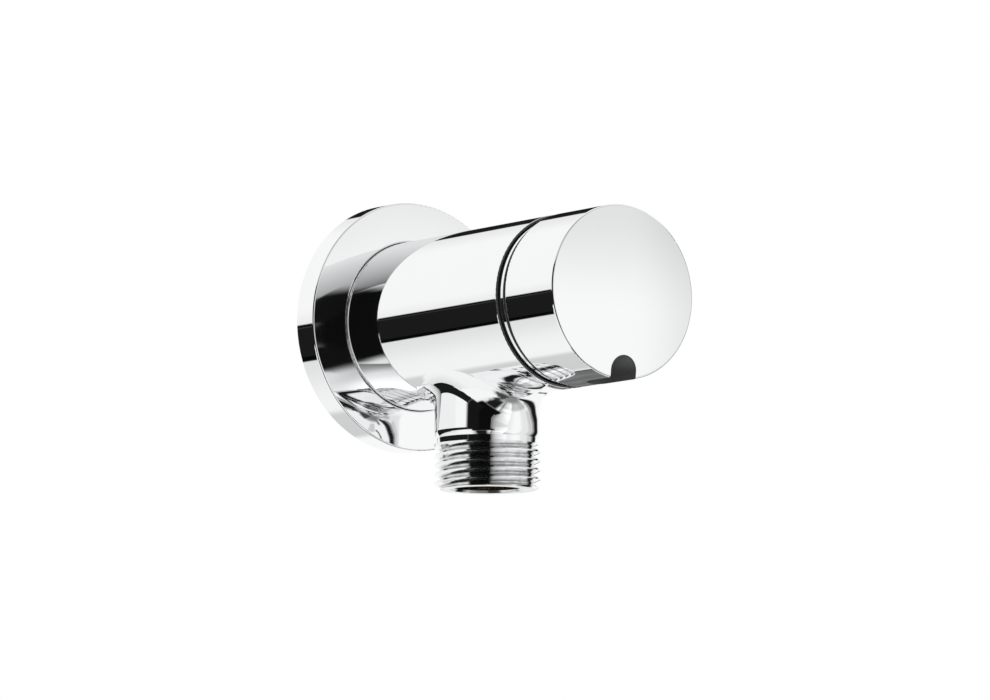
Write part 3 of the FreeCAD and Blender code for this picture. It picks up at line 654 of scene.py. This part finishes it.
class VALVE_OT_plastics(Operator):
    """Finish the moulded plastic pieces"""
    bl_idname = "valve.plastics"
    bl_label = "Plastic pieces"

    def execute(self, context):
        finish = context.scene.valve_finish
        dress(moulded_plastic("black acetal", finish.black_acetal), "stem_guide", "piston")
        dress(moulded_plastic("white acetal", finish.white_acetal), "flow_restrictor",
              "piston_guide_ring")
        dress(moulded_plastic("red fibre", finish.red_fibre, speck=0.75), "slip_washer")
        return {"FINISHED"}


def fading_front(sheet, bearing, height, turn, white):
    """The brightness round about, with the front board fading towards the hall, up and round."""
    in_front = sheet.span(sheet.maths("ABSOLUTE", bearing), *FRONT_ENDS)
    fade = sheet.span(turn, 0.0, FADE_TURN, 0.0, 1.0, smooth=False)
    fade = sheet.span(sheet.maths("POWER", fade, FADE_POWER), 0.0, 1.0, *FADE_LEVELS,
                      smooth=False)
    fade = sheet.blend(sheet.maths("LESS_THAN", turn, FADE_TURN), FADE_LEVELS[1], fade)
    fade = sheet.maths("MULTIPLY", fade, sheet.span(height, *FADE_UPWARDS))
    fade = sheet.maths("MULTIPLY", fade, sheet.span(turn, *FADE_ROUND))
    return in_front, sheet.blend(in_front, white, sheet.maths("MULTIPLY", white, fade))


def hall_arms(sheet, bearing, height):
    """Where the dark hall reaches round the front board in two slanting arms."""
    steep = sheet.maths("ABSOLUTE", height)
    past = sheet.maths("MAXIMUM", sheet.maths("SUBTRACT", HALL_EDGE, bearing), 0.0)
    inner = sheet.maths("ADD", sheet.maths("MULTIPLY", past, ARM_SLOPE), ARM_START)
    outer = sheet.span(height, *ARM_LIMIT)
    arm = sheet.maths("MULTIPLY",
                      sheet.span(sheet.maths("SUBTRACT", steep, inner), *ARM_INNER_EDGE),
                      sheet.span(sheet.maths("SUBTRACT", outer, steep), *ARM_OUTER_EDGE))
    return sheet.maths("MULTIPLY", arm, sheet.within(bearing, *ARM_BEARINGS, 1.0))


def studio_light(settings):
    """White boards all round, with the dark gaps that a mirror finish shows between them."""
    world = bpy.data.worlds.new("white studio")
    bpy.context.scene.world = world
    world.use_nodes = True
    sheet = Sheet(world.node_tree)
    x, y, z = sheet.parts(sheet.add("ShaderNodeTexCoord").outputs["Generated"])
    degrees = 180.0 / math.pi
    bearing = sheet.maths("MULTIPLY", sheet.maths("ARCTAN2", x, y), degrees)
    height = sheet.maths("MULTIPLY", sheet.maths("ARCSINE", z), degrees)
    turn = sheet.maths("FLOORED_MODULO", sheet.maths("SUBTRACT", HALL_EDGE, bearing), 360.0)
    measures = {"bearing": bearing, "height": height, "turn": turn}

    in_front, light = fading_front(sheet, bearing, height, turn, settings.white)
    for (across, low, high, h_low, h_high, soft, h_soft,
         along, start, end, at_start, at_end) in BOARDS:
        there = sheet.maths("MULTIPLY", sheet.within(measures[across], low, high, soft),
                            sheet.within(height, h_low, h_high, h_soft))
        level = sheet.span(measures[along], start, end, at_start, at_end)
        light = sheet.blend(there, light, sheet.maths("MULTIPLY", light, level))
    for low, high, soft, level in FRONT_STEEP:
        there = sheet.maths("MULTIPLY", sheet.within(height, low, high, soft), in_front)
        light = sheet.maths("MULTIPLY", light, sheet.blend(there, 1.0, level))
    for low, high, h_low, h_high, soft, h_soft, level in GAPS:
        gap = sheet.maths("MULTIPLY", sheet.within(bearing, low, high, soft),
                          sheet.within(height, h_low, h_high, h_soft))
        light = sheet.blend(gap, light, settings.wall_dark if level is None else level)
    light = sheet.blend(hall_arms(sheet, bearing, height), light, ARM_DARK)

    mirrored = sheet.add("ShaderNodeBackground")
    sheet.feed(mirrored.inputs["Color"], light)
    seen = sheet.add("ShaderNodeBackground")
    seen.inputs["Color"].default_value = (1.0, 1.0, 1.0, 1.0)
    choose = sheet.add("ShaderNodeMixShader")
    sheet.feed(choose.inputs[0], sheet.add("ShaderNodeLightPath").outputs["Is Camera Ray"])
    sheet.feed(choose.inputs[1], mirrored.outputs[0])
    sheet.feed(choose.inputs[2], seen.outputs[0])
    output = sheet.add("ShaderNodeOutputWorld")
    sheet.feed(output.inputs["Surface"], choose.outputs[0])


def studio_floor(settings):
    """A pale matt floor, well below the valve, which the mirror finish doesn't show."""
    half = 3.0
    z = -settings.floor_drop
    mesh = bpy.data.meshes.new("floor")
    mesh.from_pydata([(-half, -half, z), (half, -half, z), (half, half, z), (-half, half, z)],
                     [], [(0, 1, 2, 3)])
    floor = new_piece("floor", mesh)
    material, sheet, shader = new_material("pale floor")
    grain = sheet.noise(sheet.place(), scale=4.0)
    sheet.feed(shader.inputs["Base Color"],
               sheet.blend_colour(grain, (0.90, 0.90, 0.90, 1.0), (0.93, 0.93, 0.93, 1.0)))
    shader.inputs["Roughness"].default_value = 0.7
    mesh.materials.append(material)
    floor.visible_glossy = False


def painted_reflection_card():
    """A small dark sheet, off to the side, that glows and only reflections see: it paints a dark
    reflection onto the underside of the button.

    It stands where the camera's view, mirrored by the button, is CARD_REACH away.
    """
    view = VIEW.normalized()
    rows = 16
    points = []
    for row in range(rows + 1):
        turn = math.radians(CARD_LOW + (CARD_HIGH - CARD_LOW) * row / rows)
        normal = Vector((math.cos(turn), 0.0, math.sin(turn)))
        mirrored = view - 2 * view.dot(normal) * normal
        for y in (CARD_REAR, CARD_FRONT):
            points.append(normal * BUTTON_RADIUS + Vector((0.0, y, 0.0)) + mirrored * CARD_REACH)
    faces = [(i, i + 1, i + 3, i + 2) for i in range(0, 2 * rows, 2)]
    mesh = bpy.data.meshes.new("card")
    mesh.from_pydata(points, [], faces)
    card = new_piece("card", mesh)
    material = bpy.data.materials.new("painted reflection sheet")
    material.use_nodes = True
    sheet = Sheet(material.node_tree)
    place = sheet.place()
    z = sheet.parts(place)["Z"]
    edge = sheet.span(z, points[1].z, points[1].z + CARD_EDGE)
    cloud = sheet.span(sheet.noise(place, scale=25.0, detail=2.0), 0.35, 0.65, *CARD_GREY)
    # Painted reflection: the sheet glows black along its lower edge and grey in a cloud, and is
    # hidden from the camera, shadows and diffuse light.
    glow = sheet.add("ShaderNodeEmission")
    sheet.feed(glow.inputs["Color"], sheet.blend(edge, CARD_BLACK, cloud))
    output = sheet.add("ShaderNodeOutputMaterial")
    sheet.feed(output.inputs["Surface"], glow.outputs[0])
    mesh.materials.append(material)
    card.visible_camera = False
    card.visible_diffuse = False
    card.visible_shadow = False


def studio_camera(settings):
    data = bpy.data.cameras.new("camera")
    data.sensor_width = 36.0
    data.lens = settings.focal_length
    data.clip_start = 0.05
    data.clip_end = 20.0
    camera = new_piece("camera", data)
    up = VIEW_RIGHT.cross(VIEW).normalized()
    right = VIEW.cross(up).normalized()
    turn = Matrix((right, up, -VIEW.normalized())).transposed()
    camera.matrix_world = Matrix.Translation(settings.camera_place) @ turn.to_4x4()
    bpy.context.scene.camera = camera


class VALVE_OT_studio(Operator):
    """Set up the white studio, its pale floor and the camera"""
    bl_idname = "valve.studio"
    bl_label = "Studio"

    def execute(self, context):
        settings = context.scene.valve_studio
        studio_light(settings)
        studio_floor(settings)
        painted_reflection_card()
        studio_camera(settings)
        context.scene.view_settings.view_transform = "Standard"
        return {"FINISHED"}


OPERATORS = (VALVE_OT_studio, VALVE_OT_chrome, VALVE_OT_brass, VALVE_OT_steel,
             VALVE_OT_springs, VALVE_OT_seals, VALVE_OT_plastics)


class VALVE_PT_pieces(Panel):
    bl_label = "Flush valve"
    bl_idname = "VALVE_PT_pieces"
    bl_space_type = "VIEW_3D"
    bl_region_type = "UI"
    bl_category = "Flush valve"

    def draw(self, context):
        layout = self.layout
        for settings in (context.scene.valve_finish, context.scene.valve_studio):
            box = layout.box()
            for name in settings.__annotations__:
                box.prop(settings, name)
        for operator in OPERATORS:
            layout.operator(operator.bl_idname)


CLASSES = (ValveFinish, ValveStudio, *OPERATORS, VALVE_PT_pieces)


def register():
    for entry in CLASSES:
        bpy.utils.register_class(entry)
    bpy.types.Scene.valve_finish = PointerProperty(type=ValveFinish)
    bpy.types.Scene.valve_studio = PointerProperty(type=ValveStudio)


def unregister():
    del bpy.types.Scene.valve_finish
    del bpy.types.Scene.valve_studio
    for entry in reversed(CLASSES):
        bpy.utils.unregister_class(entry)


def main():
    register()
    bpy.ops.valve.studio()
    bpy.ops.valve.chrome()
    bpy.ops.valve.brass()
    bpy.ops.valve.steel()
    bpy.ops.valve.springs()
    bpy.ops.valve.seals()
    bpy.ops.valve.plastics()


if __name__ == "__main__":
    main()
